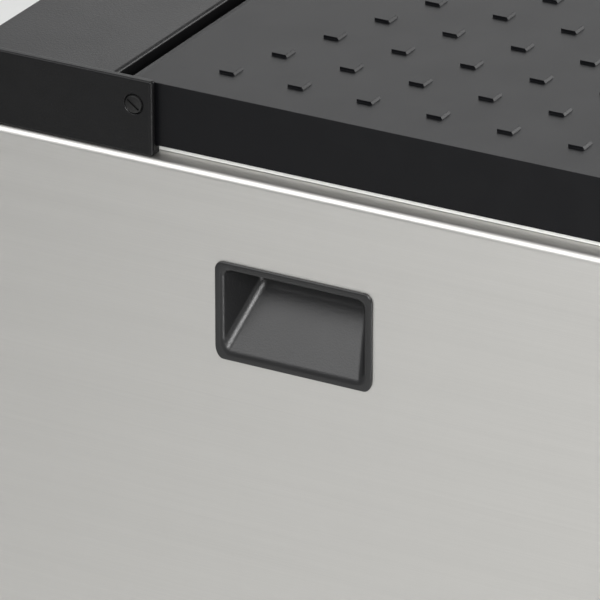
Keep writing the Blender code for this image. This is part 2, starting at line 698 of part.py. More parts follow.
def track(name, side):
    """A C-shaped runner on the base, with the pin of the front roller beside it."""
    x0, x1 = TRACK_X, TRACK_X + 0.022
    z0, z1 = BASE_Z + BASE_T + GAP, 0.0655
    wall = 0.002
    outline = [(z0, x0 + 0.0005), (z0 + wall, x0 + 0.0005), (z0 + wall, x1 - wall), (z1 - wall, x1 - wall),
             (z1 - wall, x0 + 0.008), (z1, x0 + 0.008), (z1, x1), (z0, x1)]
    outline = [(z, side * x) for z, x in outline]
    front = SHELL_FRONT_Y + 0.016
    made = outline_solid(name, ALONG_Y, [outline], front, REAR_ROLLER_Y + 0.034, ZINC)
    y, z = FRONT_ROLLER_Y, FRONT_ROLLER_Z
    bracket = sorted((side * (x1 - 0.001), side * (FRONT_ROLLER_X - 0.0055)))
    pin = sorted((side * (x1 + 0.003), side * (FRONT_ROLLER_X + 0.0055)))
    bracket_low = (bracket[0], front + 0.0005, z0 + 0.0005)
    join(
        made,
        box(name + "_bracket", bracket_low, (bracket[1], y + 0.012, 0.062), ZINC),
        cylinder(name + "_pin", ALONG_X, (y, z), 0.003, *pin, ZINC, 12),
    )
    return made


def make_pedal():
    """The toe plate with its two lugs, and the pedal that turns on them to release the drawer."""
    low = BASE_Z + BASE_T + GAP
    back, high = PEDAL_Y + 0.0130, PAN_Z - 0.002
    toe = box("toe_plate", (-TOE_X, PEDAL_Y + 0.0115, low), (TOE_X, back, high), PAINTED)
    for side in (-1, 1):
        lug = sorted((side * 0.062, side * 0.066))
        pin = sorted((side * 0.055, side * 0.065))
        join(
            toe,
            box(
                f"pedal_lug_{side}",
                (lug[0], PEDAL_Y - 0.006, low),
                (lug[1], PEDAL_Y + 0.012, PEDAL_Z + 0.006),
                PAINTED,
            ),
            cylinder(f"pedal_pin_{side}", ALONG_X, (PEDAL_Y, PEDAL_Z), 0.003, *pin, PAINTED, 12),
        )
    origin = (0, PEDAL_Y, PEDAL_Z)
    profile = [(FACE_Y - 0.012, PEDAL_Z - 0.003), (PEDAL_Y, PEDAL_Z - 0.006)]
    profile += arc((PEDAL_Y, PEDAL_Z), 0.006, -90, 90, 6)[1:]
    profile += [(FACE_Y - 0.012, PEDAL_Z + 0.003)]
    pedal = outline_solid("foot_pedal", ALONG_X, [profile], -0.060, 0.060, BLACK, origin)
    bevel(pedal, 0.001)
    cut(pedal, cylinder("pedal_bore", ALONG_X, (PEDAL_Y, PEDAL_Z), 0.0034, -0.1, 0.1, BLACK, 12))


# Ram and drive


def make_ram():
    y0, y1 = RAM_Y - RAM_HALF_Y, RAM_Y + RAM_HALF_Y
    box("ram_plate", (-RAM_X, y0, RAM_LOW_Z), (RAM_X, y1, RAM_LOW_Z + 0.006), STEEL, 0.002)
    x, front, back, low = 0.115, y0 + 0.03, y1 - 0.03, RAM_LOW_Z + 0.0063
    body = box("ram_frame", (-x, front, low), (x, back, BEAM_LOW_Z + 0.004), PAINTED)
    wall = 0.0025
    hollow_low, hollow_high = (-x + wall, front + wall, low + 0.0027), (x - wall, back - wall, 0.9)
    cut(body, box("ram_hollow", hollow_low, hollow_high, PAINTED))
    beam_low, beam_high = (-0.1785, RAM_Y - 0.025, BEAM_LOW_Z), (0.1785, RAM_Y + 0.025, BEAM_LOW_Z + BEAM_T)
    join(body, box("ram_beam", beam_low, beam_high, PAINTED))
    for side in (-1, 1):
        place = (side * POWER_SCREW_X, RAM_Y)
        cut(body, cylinder(f"beam_hole_{side}", ALONG_Z, place, 0.0095, 0.6, 0.9, PAINTED, 24))
        half = "left" if side < 0 else "right"
        ring = [circle(place, NUT_R), circle(place, POWER_SCREW_R + 0.0005)]
        outline_solid(f"{half}_power_nut", ALONG_Z, ring, BEAM_LOW_Z - 0.022, BEAM_LOW_Z - GAP, BRONZE)


def make_drive():
    for name, side in (("left", -1), ("right", 1)):
        power_screw(name + "_power_screw", (side * POWER_SCREW_X, RAM_Y), DECK_Z + 0.001)
    power_screw("motor_sprocket", (0, MOTOR_Y), BASE_Z + BASE_T + 0.006)
    low = BASE_Z + BASE_T + GAP
    high = low + 0.040
    gearbox = box("gearbox", (-0.055, MOTOR_Y - 0.048, low), (0.055, MOTOR_Y + 0.048, high), PAINTED, 0.004)
    cut(gearbox, cylinder("gearbox_bore", ALONG_Z, (0, MOTOR_Y), 0.0095, 0.0, low + 0.012, PAINTED, 24))
    top = high + GAP
    profile = [(0, top + 0.118), (0.020, top + 0.118), (0.024, top + 0.110), (MOTOR_R - 0.004, top + 0.106),
               (MOTOR_R, top + 0.100), (MOTOR_R, top), (0, top)]
    turned("motor", profile, (0, MOTOR_Y), PAINTED, sides=32)
    middles = [(-POWER_SCREW_X, RAM_Y), (POWER_SCREW_X, RAM_Y), (0, MOTOR_Y)]
    band = [loop_around(middles, SPROCKET_R + 0.0055), loop_around(middles, SPROCKET_R + 0.0005)]
    low, high = SPROCKET_Z + 0.001, SPROCKET_Z + SPROCKET_T - 0.001
    outline_solid("drive_chain", ALONG_Z, band, low, high, ZINC)


def power_screw(name, centre, top):
    """A vertical shaft with its sprocket turned on the lower end."""
    profile = [(0, top), (POWER_SCREW_R, top), (POWER_SCREW_R, SPROCKET_Z + SPROCKET_T),
               (SPROCKET_R, SPROCKET_Z + SPROCKET_T), (SPROCKET_R, SPROCKET_Z), (0, SPROCKET_Z)]
    return turned(name, profile, centre, ZINC)


def loop_around(middles, radius):
    """The outline at one distance from a triangle whose corners run anticlockwise."""
    points = []
    for i, middle in enumerate(middles):
        before, after = middles[i - 1], middles[(i + 1) % len(middles)]
        first = math.degrees(math.atan2(middle[1] - before[1], middle[0] - before[0])) - 90
        last = math.degrees(math.atan2(after[1] - middle[1], after[0] - middle[0])) - 90
        if last < first:
            last += 360
        points += arc(middle, radius, first, last, 8)
    return points


make_shell()
make_frame()
make_front()
make_lid()
make_hinge()
make_bay()
make_drawer()
make_rollers()
make_pedal()
make_ram()
make_drive()
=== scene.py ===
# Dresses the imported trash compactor: steel walls, black lid and hinge, drawer, ram and drive.
import json
import math

import bmesh
import bpy
from mathutils import Matrix, Vector


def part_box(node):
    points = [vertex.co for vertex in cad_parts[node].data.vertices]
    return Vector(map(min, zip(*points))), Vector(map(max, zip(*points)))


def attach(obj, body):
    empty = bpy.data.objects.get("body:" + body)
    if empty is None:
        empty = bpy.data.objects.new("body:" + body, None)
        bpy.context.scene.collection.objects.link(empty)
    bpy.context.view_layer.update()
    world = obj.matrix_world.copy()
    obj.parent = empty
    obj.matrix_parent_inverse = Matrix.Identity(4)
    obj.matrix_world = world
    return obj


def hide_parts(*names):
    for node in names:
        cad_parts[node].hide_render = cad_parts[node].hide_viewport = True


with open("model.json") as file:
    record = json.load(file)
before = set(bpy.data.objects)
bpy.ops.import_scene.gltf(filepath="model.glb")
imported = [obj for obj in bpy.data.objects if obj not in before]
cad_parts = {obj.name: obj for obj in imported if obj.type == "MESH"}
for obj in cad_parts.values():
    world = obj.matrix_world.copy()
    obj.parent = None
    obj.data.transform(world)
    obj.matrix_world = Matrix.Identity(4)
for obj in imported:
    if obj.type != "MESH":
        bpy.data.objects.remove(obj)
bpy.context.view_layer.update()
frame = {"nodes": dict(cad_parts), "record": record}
record = frame["record"]
nodeBody = {node: body for body, nodes in record["behaviour"]["bodies"].items() for node in nodes}
nodeSlot = {part["node"]: part["material_slot"] for part in record["subparts"]}
print("frame loaded:", len(nodeBody), "nodes")


# node groups that several finishes share

def makeGroup(name, inputs, outputs):
    group = bpy.data.node_groups.new(name, "ShaderNodeTree")
    for label, kind, value in inputs:
        socket = group.interface.new_socket(label, in_out="INPUT", socket_type=kind)
        if value is not None:
            socket.default_value = value
    for label in outputs:
        group.interface.new_socket(label, in_out="OUTPUT", socket_type="NodeSocketFloat")
    start = group.nodes.new("NodeGroupInput")
    end = group.nodes.new("NodeGroupOutput")
    return group, start.outputs, end.inputs


def addNode(tree, kind, settings=None, **values):
    # values are socket names with _ for a space; a socket given as a value is linked
    node = tree.nodes.new(kind)
    for key, value in (settings or {}).items():
        setattr(node, key, value)
    for key, value in values.items():
        socket = node.inputs[int(key[1:])] if key[1:].isdigit() else node.inputs[key.replace("_", " ")]
        if isinstance(value, bpy.types.NodeSocket):
            tree.links.new(value, socket)
        else:
            socket.default_value = value
    return node


def mathNode(tree, operation, first, second=0.0):
    return addNode(tree, "ShaderNodeMath", {"operation": operation}, s0=first, s1=second).outputs[0]


def rangeNode(tree, value, low, high, toLow=0.0, toHigh=1.0):
    node = addNode(tree, "ShaderNodeMapRange", None, Value=value, From_Min=low, From_Max=high,
                   To_Min=toLow, To_Max=toHigh)
    return node.outputs[0]


def brushGroup():
    # long fine lines along the sheet, a slower drift between them, and faint hand smudges
    group, given, out = makeGroup(
        "brushedLines",
        [("Vector", "NodeSocketVector", None), ("Lines", "NodeSocketFloat", 900.0),
         ("Run", "NodeSocketFloat", 5.0)],
        ["Line", "Drift", "Smudge"])
    stretch = group.nodes.new("ShaderNodeCombineXYZ")
    group.links.new(given["Run"], stretch.inputs[0])
    group.links.new(given["Run"], stretch.inputs[1])
    group.links.new(given["Lines"], stretch.inputs[2])
    spread = addNode(group, "ShaderNodeVectorMath", {"operation": "MULTIPLY"}, s0=given["Vector"],
                     s1=stretch.outputs[0]).outputs[0]
    line = addNode(group, "ShaderNodeTexNoise", None, Vector=spread, Scale=1.0, Detail=3.0, Roughness=0.7)
    slow = addNode(group, "ShaderNodeVectorMath", {"operation": "MULTIPLY"}, s0=spread, s1=(0.7, 0.7, 0.06))
    drift = addNode(group, "ShaderNodeTexNoise", None, Vector=slow.outputs[0], Scale=1.0, Detail=2.0)
    smudge = addNode(group, "ShaderNodeTexNoise", None, Vector=given["Vector"], Scale=7.0, Detail=4.0)
    group.links.new(line.outputs[0], out["Line"])
    group.links.new(drift.outputs[0], out["Drift"])
    group.links.new(rangeNode(group, smudge.outputs[0], 0.42, 0.72), out["Smudge"])
    return group


def grainGroup():
    # the pebbled skin of a textured moulding, with a slow change of shade
    group, given, out = makeGroup(
        "mouldedGrain", [("Vector", "NodeSocketVector", None), ("Size", "NodeSocketFloat", 900.0)],
        ["Height", "Mottle"])
    pebble = addNode(group, "ShaderNodeTexVoronoi", {"feature": "SMOOTH_F1"}, Vector=given["Vector"],
                     Scale=given["Size"], Smoothness=0.6)
    finer = mathNode(group, "MULTIPLY", given["Size"], 2.3)
    speck = addNode(group, "ShaderNodeTexNoise", None, Vector=given["Vector"], Scale=finer, Detail=2.0)
    mottle = addNode(group, "ShaderNodeTexNoise", None, Vector=given["Vector"], Scale=24.0, Detail=5.0)
    half = mathNode(group, "MULTIPLY", speck.outputs[0], 0.5)
    height = mathNode(group, "ADD", pebble.outputs["Distance"], half)
    group.links.new(height, out["Height"])
    group.links.new(mottle.outputs[0], out["Mottle"])
    return group


def wearGroup():
    # rubbed outer edges, broken up by noise
    group, given, out = makeGroup(
        "edgeWear", [("Vector", "NodeSocketVector", None), ("Amount", "NodeSocketFloat", 0.5)], ["Mask"])
    point = group.nodes.new("ShaderNodeNewGeometry").outputs["Pointiness"]
    edge = rangeNode(group, point, 0.52, 0.62)
    patchy = addNode(group, "ShaderNodeTexNoise", None, Vector=given["Vector"], Scale=60.0, Detail=6.0)
    broken = mathNode(group, "MULTIPLY", edge, rangeNode(group, patchy.outputs[0], 0.42, 0.62))
    group.links.new(mathNode(group, "MULTIPLY", broken, given["Amount"]), out["Mask"])
    return group


def dustGroup():
    # a little dust where a face looks upwards
    group, given, out = makeGroup(
        "settledDust", [("Vector", "NodeSocketVector", None), ("Amount", "NodeSocketFloat", 0.2)], ["Mask"])
    normal = group.nodes.new("ShaderNodeNewGeometry").outputs["Normal"]
    parts = addNode(group, "ShaderNodeSeparateXYZ", None, Vector=normal)
    upward = rangeNode(group, parts.outputs["Z"], 0.55, 1.0)
    cloud = addNode(group, "ShaderNodeTexNoise", None, Vector=given["Vector"], Scale=38.0, Detail=8.0,
                    Roughness=0.7)
    masked = mathNode(group, "MULTIPLY", upward, rangeNode(group, cloud.outputs[0], 0.4, 0.75))
    group.links.new(mathNode(group, "MULTIPLY", masked, given["Amount"]), out["Mask"])
    return group


brushedLines, mouldedGrain, edgeWear, settledDust = brushGroup(), grainGroup(), wearGroup(), dustGroup()


# finishes

def startMaterial(name, metallic, roughness, level=0.5):
    material = bpy.data.materials.new(name)
    material.use_nodes = True
    tree = material.node_tree
    shader = tree.nodes["Principled BSDF"]
    shader.inputs["Metallic"].default_value = metallic
    shader.inputs["Roughness"].default_value = roughness
    shader.inputs["Specular IOR Level"].default_value = level
    vector = tree.nodes.new("ShaderNodeTexCoord").outputs["Object"]
    return material, tree, shader, vector


def placeGroup(tree, group, vector, **values):
    node = addNode(tree, "ShaderNodeGroup", {"node_tree": group}, Vector=vector)
    for key, value in values.items():
        node.inputs[key].default_value = value
    return node.outputs


def mixColour(tree, factor, first, second):
    node = addNode(tree, "ShaderNodeMix", {"data_type": "RGBA"}, s0=factor, s6=first, s7=second)
    return node.outputs[2]


def shadeOf(colour, factor):
    return (*[min(1.0, part * factor) for part in colour], 1.0)


def bumpInto(tree, shader, height, strength, distance):
    bump = addNode(tree, "ShaderNodeBump", None, Strength=strength, Distance=distance, Height=height)
    tree.links.new(bump.outputs[0], shader.inputs["Normal"])


def brushedMetal(name, colour, roughness, lines=900.0, run=5.0, depth=0.25, drift=0.08, smudge=0.06):
    material, tree, shader, vector = startMaterial(name, 1.0, roughness)
    brush = placeGroup(tree, brushedLines, vector, Lines=lines, Run=run)
    tone = mathNode(tree, "ADD", mathNode(tree, "MULTIPLY", brush["Line"], 0.6),
                    mathNode(tree, "MULTIPLY", brush["Drift"], 0.4))
    tint = mixColour(tree, rangeNode(tree, tone, 0.3, 0.7), shadeOf(colour, 1 - drift),
                     shadeOf(colour, 1 + drift))
    tree.links.new(tint, shader.inputs["Base Color"])
    worn = mathNode(tree, "MULTIPLY", brush["Smudge"], smudge)
    spread = rangeNode(tree, brush["Drift"], 0.3, 0.7, roughness - 0.03, roughness + 0.04)
    rough = mathNode(tree, "ADD", spread, worn)
    tree.links.new(rough, shader.inputs["Roughness"])
    bumpInto(tree, shader, brush["Line"], depth, 0.0002)
    return material


def moulded(name, colour, roughness, level=0.5, size=900.0, depth=0.2, mottle=0.04, wear=0.25, dust=0.06,
            wornColour=None):
    material, tree, shader, vector = startMaterial(name, 0.0, roughness, level)
    grain = placeGroup(tree, mouldedGrain, vector, Size=size)
    rubbed = placeGroup(tree, edgeWear, vector, Amount=wear)["Mask"]
    dusty = placeGroup(tree, settledDust, vector, Amount=dust)["Mask"]
    base = mixColour(tree, rangeNode(tree, grain["Mottle"], 0.3, 0.7), shadeOf(colour, 1 - mottle),
                     shadeOf(colour, 1 + mottle))
    worn = mixColour(tree, rubbed, base, wornColour or shadeOf([part + 0.02 for part in colour], 1.6))
    tree.links.new(mixColour(tree, dusty, worn, (0.42, 0.41, 0.39, 1.0)), shader.inputs["Base Color"])
    rough = rangeNode(tree, grain["Mottle"], 0.3, 0.7, roughness - 0.3 * mottle, roughness + 0.3 * mottle)
    dulled = mathNode(tree, "MULTIPLY", dusty, 0.5)
    tree.links.new(mathNode(tree, "ADD", rough, dulled), shader.inputs["Roughness"])
    bumpInto(tree, shader, grain["Height"], depth, 0.0003)
    return material


def powderCoat(name, colour, roughness):
    return moulded(name, colour, roughness, size=1400.0, depth=0.35, mottle=0.08, wear=0.6, dust=0.2,
                   wornColour=(0.35, 0.35, 0.35, 1.0))


finishes = {
    "brushed_steel": brushedMetal("brushedSteel", (0.58, 0.571, 0.552), 0.42, lines=2600.0, run=4.0,
                                  depth=0.14, drift=0.045, smudge=0.03),
    "handle_steel": brushedMetal("handleSteel", (0.64, 0.64, 0.63), 0.24, lines=600.0, depth=0.1),
    "black_plastic": moulded("blackPlastic", (0.004, 0.004, 0.0043), 0.36, level=0.2, mottle=0.05, dust=0.0,
                             wear=0.12),
    "cup_plastic": moulded("cupPlastic", (0.006, 0.006, 0.0064), 0.36, level=0.5, mottle=0.05, dust=0.0,
                           wear=0.1),  # glossier than the cheeks, though the same slot
    "lid_plastic": moulded("lidPlastic", (0.0024, 0.0025, 0.0031), 0.38, level=0.16, size=1500.0, depth=0.08,
                           mottle=0.04, dust=0.0, wear=0.05),
    "black_screw": moulded("blackScrew", (0.004, 0.004, 0.004), 0.42, level=0.3, size=2500.0, depth=0.04,
                           wear=0.2, dust=0.0, wornColour=(0.12, 0.12, 0.12, 1.0)),
    "grey_plastic": moulded("greyPlastic", (0.30, 0.31, 0.32), 0.5),
    "bin_plastic": moulded("binPlastic", (0.36, 0.38, 0.40), 0.45, mottle=0.03, dust=0.05),
    "white_plastic": moulded("whitePlastic", (0.82, 0.82, 0.80), 0.35, depth=0.02, mottle=0.02, wear=0.0),
    "red_plastic": moulded("redPlastic", (0.50, 0.03, 0.02), 0.25, depth=0.03, wear=0.1, dust=0.0),
    "bag_film": moulded("bagFilm", (0.80, 0.82, 0.80), 0.3, size=200.0, depth=0.2, mottle=0.05, wear=0.0),
    "charcoal": moulded("charcoalFilter", (0.02, 0.02, 0.02), 0.85, size=420.0, depth=0.9, wear=0.0,
                        dust=0.1),
    "painted_steel": powderCoat("powderCoat", (0.09, 0.09, 0.095), 0.5),
    "zinc_steel": brushedMetal("zincSheet", (0.52, 0.53, 0.54), 0.42, lines=120.0, run=60.0, depth=0.1,
                               drift=0.12),
    "ram_steel": brushedMetal("ramSteel", (0.50, 0.50, 0.49), 0.36, lines=60.0, run=60.0, depth=0.3,
                              drift=0.2, smudge=0.25),
    "drive_steel": brushedMetal("driveSteel", (0.34, 0.34, 0.34), 0.3, lines=1800.0, run=300.0, depth=0.15),
    "bronze": brushedMetal("bearingBronze", (0.50, 0.33, 0.15), 0.4, lines=500.0, run=500.0, depth=0.15),
    "rubber": moulded("footRubber", (0.02, 0.02, 0.02), 0.75, size=700.0, depth=0.4, dust=0.2),
}
print("finishes made:", len(finishes))


# CAD nodes with softened edges

replaced = set()  # nodes that a new piece stands for


def loadShape(node):
    shape = bmesh.new()
    shape.from_mesh(frame["nodes"][node].data)
    bmesh.ops.remove_doubles(shape, verts=shape.verts, dist=1e-5)
    bmesh.ops.dissolve_limit(shape, angle_limit=math.radians(0.5), verts=shape.verts, edges=shape.edges)
    return shape


def addPiece(name, shape, body, slot, stands=(), smoothBelow=35.0, finish=None):
    mesh = bpy.data.meshes.new(name)
    shape.to_mesh(mesh)
    shape.free()
    mesh.shade_smooth()
    mesh.set_sharp_from_angle(angle=math.radians(smoothBelow))
    mesh.materials.clear()
    mesh.materials.append(finishes[finish or slot])
    piece = bpy.data.objects.new(name, mesh)
    bpy.context.scene.collection.objects.link(piece)
    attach(piece, body)
    if stands:
        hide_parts(*stands)
        replaced.update(stands)
    return piece


def addBevel(piece, width, segments=2, angle=32.0):
    bevel = piece.modifiers.new("softEdges", "BEVEL")
    bevel.width = width
    bevel.segments = segments
    bevel.limit_method = "ANGLE"
    bevel.angle_limit = math.radians(angle)
    bevel.use_clamp_overlap = True
    flatten = piece.modifiers.new("flatFaces", "WEIGHTED_NORMAL")
    flatten.weight = 90
    flatten.keep_sharp = True
    return piece


edgeWidths = {  # metres; a node that isn't named here takes the first value
    "usual": 0.0006,
    "left_side_panel": 0.0003, "right_side_panel": 0.0003, "drawer_front": 0.0006, "rear_panel": 0.0003,
    "bin_bucket": 0.0010, "gearbox": 0.0015, "toe_plate": 0.0004, "drawer_frame": 0.0004,
    "left_drawer_track": 0.0004, "right_drawer_track": 0.0004, "lid_shell": 0.0007,
    "left_power_screw": 0.0005, "right_power_screw": 0.0005, "power_inlet": 0.0003,
}


lidPads = {"slope": 0.0012, "rise": 0.0005}


def slopePads(shape):
    # leans the front side of each raised square back a little
    top = max(vert.co.z for vert in shape.verts)
    for face in [face for face in shape.faces if face.calc_center_median().z > top - lidPads["rise"]]:
        middle = face.calc_center_median().y
        front = [vert for vert in face.verts if vert.co.y < middle]
        bmesh.ops.translate(shape, vec=(0, lidPads["slope"], 0), verts=front)


def softenNodes(names):
    for node in names:
        shape = loadShape(node)
        if node == "lid_shell":
            slopePads(shape)
        piece = addPiece("soft_" + node, shape, nodeBody[node], nodeSlot[node], [node])
        addBevel(piece, edgeWidths.get(node, edgeWidths["usual"]))


# shaping tools

def addBlock(shape, low, high):
    made = bmesh.ops.create_cube(shape, size=1.0)["verts"]
    low, high = Vector(low), Vector(high)
    bmesh.ops.scale(shape, vec=high - low, verts=made)
    bmesh.ops.translate(shape, vec=(low + high) / 2, verts=made)
    return made


def edgesBetween(verts, test=None):
    known = set(verts)
    found = {edge for vert in known for edge in vert.link_edges if edge.other_vert(vert) in known}
    return [edge for edge in found if test is None or test(edge)]


def facesBetween(verts):
    known = set(verts)
    near = {face for vert in known for face in vert.link_faces}
    return [face for face in near if known.issuperset(face.verts)]


def runsAlong(axis):
    # a test for edges that run along one axis
    def test(edge):
        span = edge.verts[1].co - edge.verts[0].co
        return abs(span[axis]) > 0.98 * span.length
    return test


def roundOff(shape, edges, offset, segments=3):
    return bmesh.ops.bevel(shape, geom=edges, offset=offset, offset_type="OFFSET", segments=segments,
                           profile=0.5, affect="EDGES", material=-1, clamp_overlap=True)


directionTurns = {
    "up": Matrix.Identity(3),
    "right": Matrix.Rotation(math.pi / 2, 3, "Y"),
    "front": Matrix.Rotation(math.pi / 2, 3, "X"), "back": Matrix.Rotation(-math.pi / 2, 3, "X"),
}


def turnOnLathe(shape, profile, centre, direction="up", steps=32, closed=False):
    # spins (radius, height) points about an axis that points in the named direction
    before = set(shape.verts)
    verts = [shape.verts.new((radius, 0, height)) for radius, height in profile]
    pairs = list(zip(verts, verts[1:] + verts[:1] if closed else verts[1:]))
    edges = [shape.edges.new(pair) for pair in pairs]
    bmesh.ops.spin(shape, geom=verts + edges, cent=(0, 0, 0), axis=(0, 0, 1), angle=2 * math.pi, steps=steps,
                   use_merge=True)
    made = [vert for vert in shape.verts if vert not in before]
    bmesh.ops.remove_doubles(shape, verts=made, dist=1e-6)
    made = [vert for vert in shape.verts if vert not in before]
    bmesh.ops.recalc_face_normals(shape, faces=facesBetween(made))
    bmesh.ops.rotate(shape, cent=(0, 0, 0), matrix=directionTurns[direction], verts=made)
    bmesh.ops.translate(shape, vec=centre, verts=made)
    return made


def cutAway(piece, shape):
    # takes the shape out of the piece's mesh for good
    mesh = bpy.data.meshes.new("cutter")
    shape.to_mesh(mesh)
    shape.free()
    cutter = bpy.data.objects.new("cutter", mesh)
    bpy.context.scene.collection.objects.link(cutter)
    away = piece.modifiers.new("cutAway", "BOOLEAN")
    away.operation, away.solver, away.object = "DIFFERENCE", "EXACT", cutter
    graph = bpy.context.evaluated_depsgraph_get()
    done = bpy.data.meshes.new_from_object(piece.evaluated_get(graph))
    piece.modifiers.remove(away)
    piece.data = done
    bpy.data.objects.remove(cutter)
    bpy.data.meshes.remove(mesh)


def mirrored(shape):
    bmesh.ops.scale(shape, vec=(-1, 1, 1), verts=shape.verts)
    bmesh.ops.reverse_faces(shape, faces=shape.faces)


def pullEdges(shape, edges, vec):
    # extrudes the edges by vec, and gives the new ones
    grown = bmesh.ops.extrude_edge_only(shape, edges=edges)["geom"]
    verts = [item for item in grown if isinstance(item, bmesh.types.BMVert)]
    bmesh.ops.translate(shape, vec=vec, verts=verts)
    return [item for item in grown if isinstance(item, bmesh.types.BMEdge)]


def sweepEdges(shape, edges, centre, axis, angle, steps):
    # spins the edges part of a turn, and gives the last ones
    last = bmesh.ops.spin(shape, geom=edges, cent=centre, axis=axis, angle=angle, steps=steps)["geom_last"]
    return [item for item in last if isinstance(item, bmesh.types.BMEdge)]


def outerInner(low, high):
    # how far a side piece reaches from the middle, and where it begins
    reach = abs(low[0]), abs(high[0])
    return max(reach), min(reach)


sides = (("left", -1), ("right", 1))


# steel walls, bent in over the shoulder

wall = {"bend": 0.0046, "bendSteps": 10, "sheet": 0.0012, "holeInset": 0.0032, "holeCorner": 0.0052,
        "cutPast": 0.01, "edge": 0.0002}


def makeWall(side, sign):
    node = side + "_side_panel"
    low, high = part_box(node)
    gripLow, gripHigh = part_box(side + "_grip_cup")
    face, inner = outerInner(low, high)
    bend = wall["bend"]
    shape = bmesh.new()
    foot = [shape.verts.new((face, y, low[2])) for y in (low[1], high[1])]
    edges = [shape.edges.new(foot)]
    edges = pullEdges(shape, edges, (0, 0, high[2] - bend - low[2]))
    edges = sweepEdges(shape, edges, (face - bend, 0, high[2] - bend), (0, 1, 0), -math.pi / 2,
                       wall["bendSteps"])
    pullEdges(shape, edges, (inner + bend - face, 0, 0))
    bmesh.ops.remove_doubles(shape, verts=shape.verts, dist=1e-6)
    bmesh.ops.recalc_face_normals(shape, faces=shape.faces)
    upright = max(shape.faces, key=lambda item: item.calc_area())
    if upright.normal.x < 0:
        bmesh.ops.reverse_faces(shape, faces=shape.faces)
    bmesh.ops.solidify(shape, geom=shape.faces[:], thickness=wall["sheet"])
    bmesh.ops.recalc_face_normals(shape, faces=shape.faces)
    if sign < 0:
        mirrored(shape)
    piece = addPiece(side + "Wall", shape, "cabinet", "brushed_steel", [node], smoothBelow=40.0)
    hole = bmesh.new()
    inset = wall["holeInset"]
    past = wall["cutPast"]
    verts = addBlock(hole, (gripLow[0] - past, gripLow[1] + inset, gripLow[2] + inset),
                     (gripHigh[0] + past, gripHigh[1] - inset, gripHigh[2] - inset))
    roundOff(hole, edgesBetween(verts, runsAlong(0)), wall["holeCorner"], 4)
    cutAway(piece, hole)
    addBevel(piece, wall["edge"])


for side, sign in sides:
    makeWall(side, sign)
print("walls made")


# cheeks that hold the lid's pivot

cheek = {"frontRound": 0.0026, "edgeRound": 0.0014, "thick": 0.0055, "foot": 0.005, "footInset": 0.0006,
         "footOverlap": 0.0005, "sink": 0.0066, "sinkDeep": 0.0014, "sinkFlare": 0.0009, "lip": 0.0004,
         "edge": 0.0002}


def makeCheek(side, sign):
    node = side + "_hinge_cheek"
    low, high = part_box(node)
    headLow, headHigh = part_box(side + "_hinge_screw")
    outer, inner = outerInner(low, high)
    shape = bmesh.new()
    plate = addBlock(shape, (outer - cheek["thick"], low[1], low[2]), (outer, high[1], high[2]))
    front = edgesBetween(plate, lambda edge: runsAlong(2)(edge) and edge.verts[0].co.y < low[1] + 1e-4)
    roundOff(shape, front, cheek["frontRound"], 8)
    rim = [edge for edge in shape.edges if not runsAlong(2)(edge)]
    roundOff(shape, rim, cheek["edgeRound"], 5)
    inset = cheek["footInset"]
    foot = addBlock(shape, (inner, low[1] + inset, low[2]),
                    (outer - cheek["thick"] + cheek["footOverlap"], high[1] - inset, low[2] + cheek["foot"]))
    roundOff(shape, edgesBetween(foot), cheek["footOverlap"], 2)
    bmesh.ops.recalc_face_normals(shape, faces=shape.faces)
    if sign < 0:
        mirrored(shape)
    piece = addPiece(side + "HingeCheek", shape, "cabinet", nodeSlot[node], [node], smoothBelow=30.0)
    sink = bmesh.new()
    radius, lip, bottom = cheek["sink"], cheek["lip"], outer - cheek["sinkDeep"]
    turnOnLathe(sink, [(0, bottom), (radius - 0.0003, bottom), (radius, outer - lip),
                       (radius + cheek["sinkFlare"], outer + lip), (0, outer + lip)], (0, 0, 0), "right", 40)
    if sign < 0:
        mirrored(sink)
    place = (0, (headLow[1] + headHigh[1]) / 2, (headLow[2] + headHigh[2]) / 2)
    bmesh.ops.translate(sink, vec=place, verts=sink.verts)
    cutAway(piece, sink)
    addBevel(piece, cheek["edge"])


for side, sign in sides:
    makeCheek(side, sign)
print("hinge cheeks made")


# hand grips

grip = {"rim": 0.0054, "proud": 0.0015, "depth": 0.030, "rise": 0.0390, "draft": 0.012, "roofDrop": 0.0015,
        "cornerRound": 0.0050, "innerFillet": 0.0024, "outerFillet": 0.0009, "wall": 0.0013}


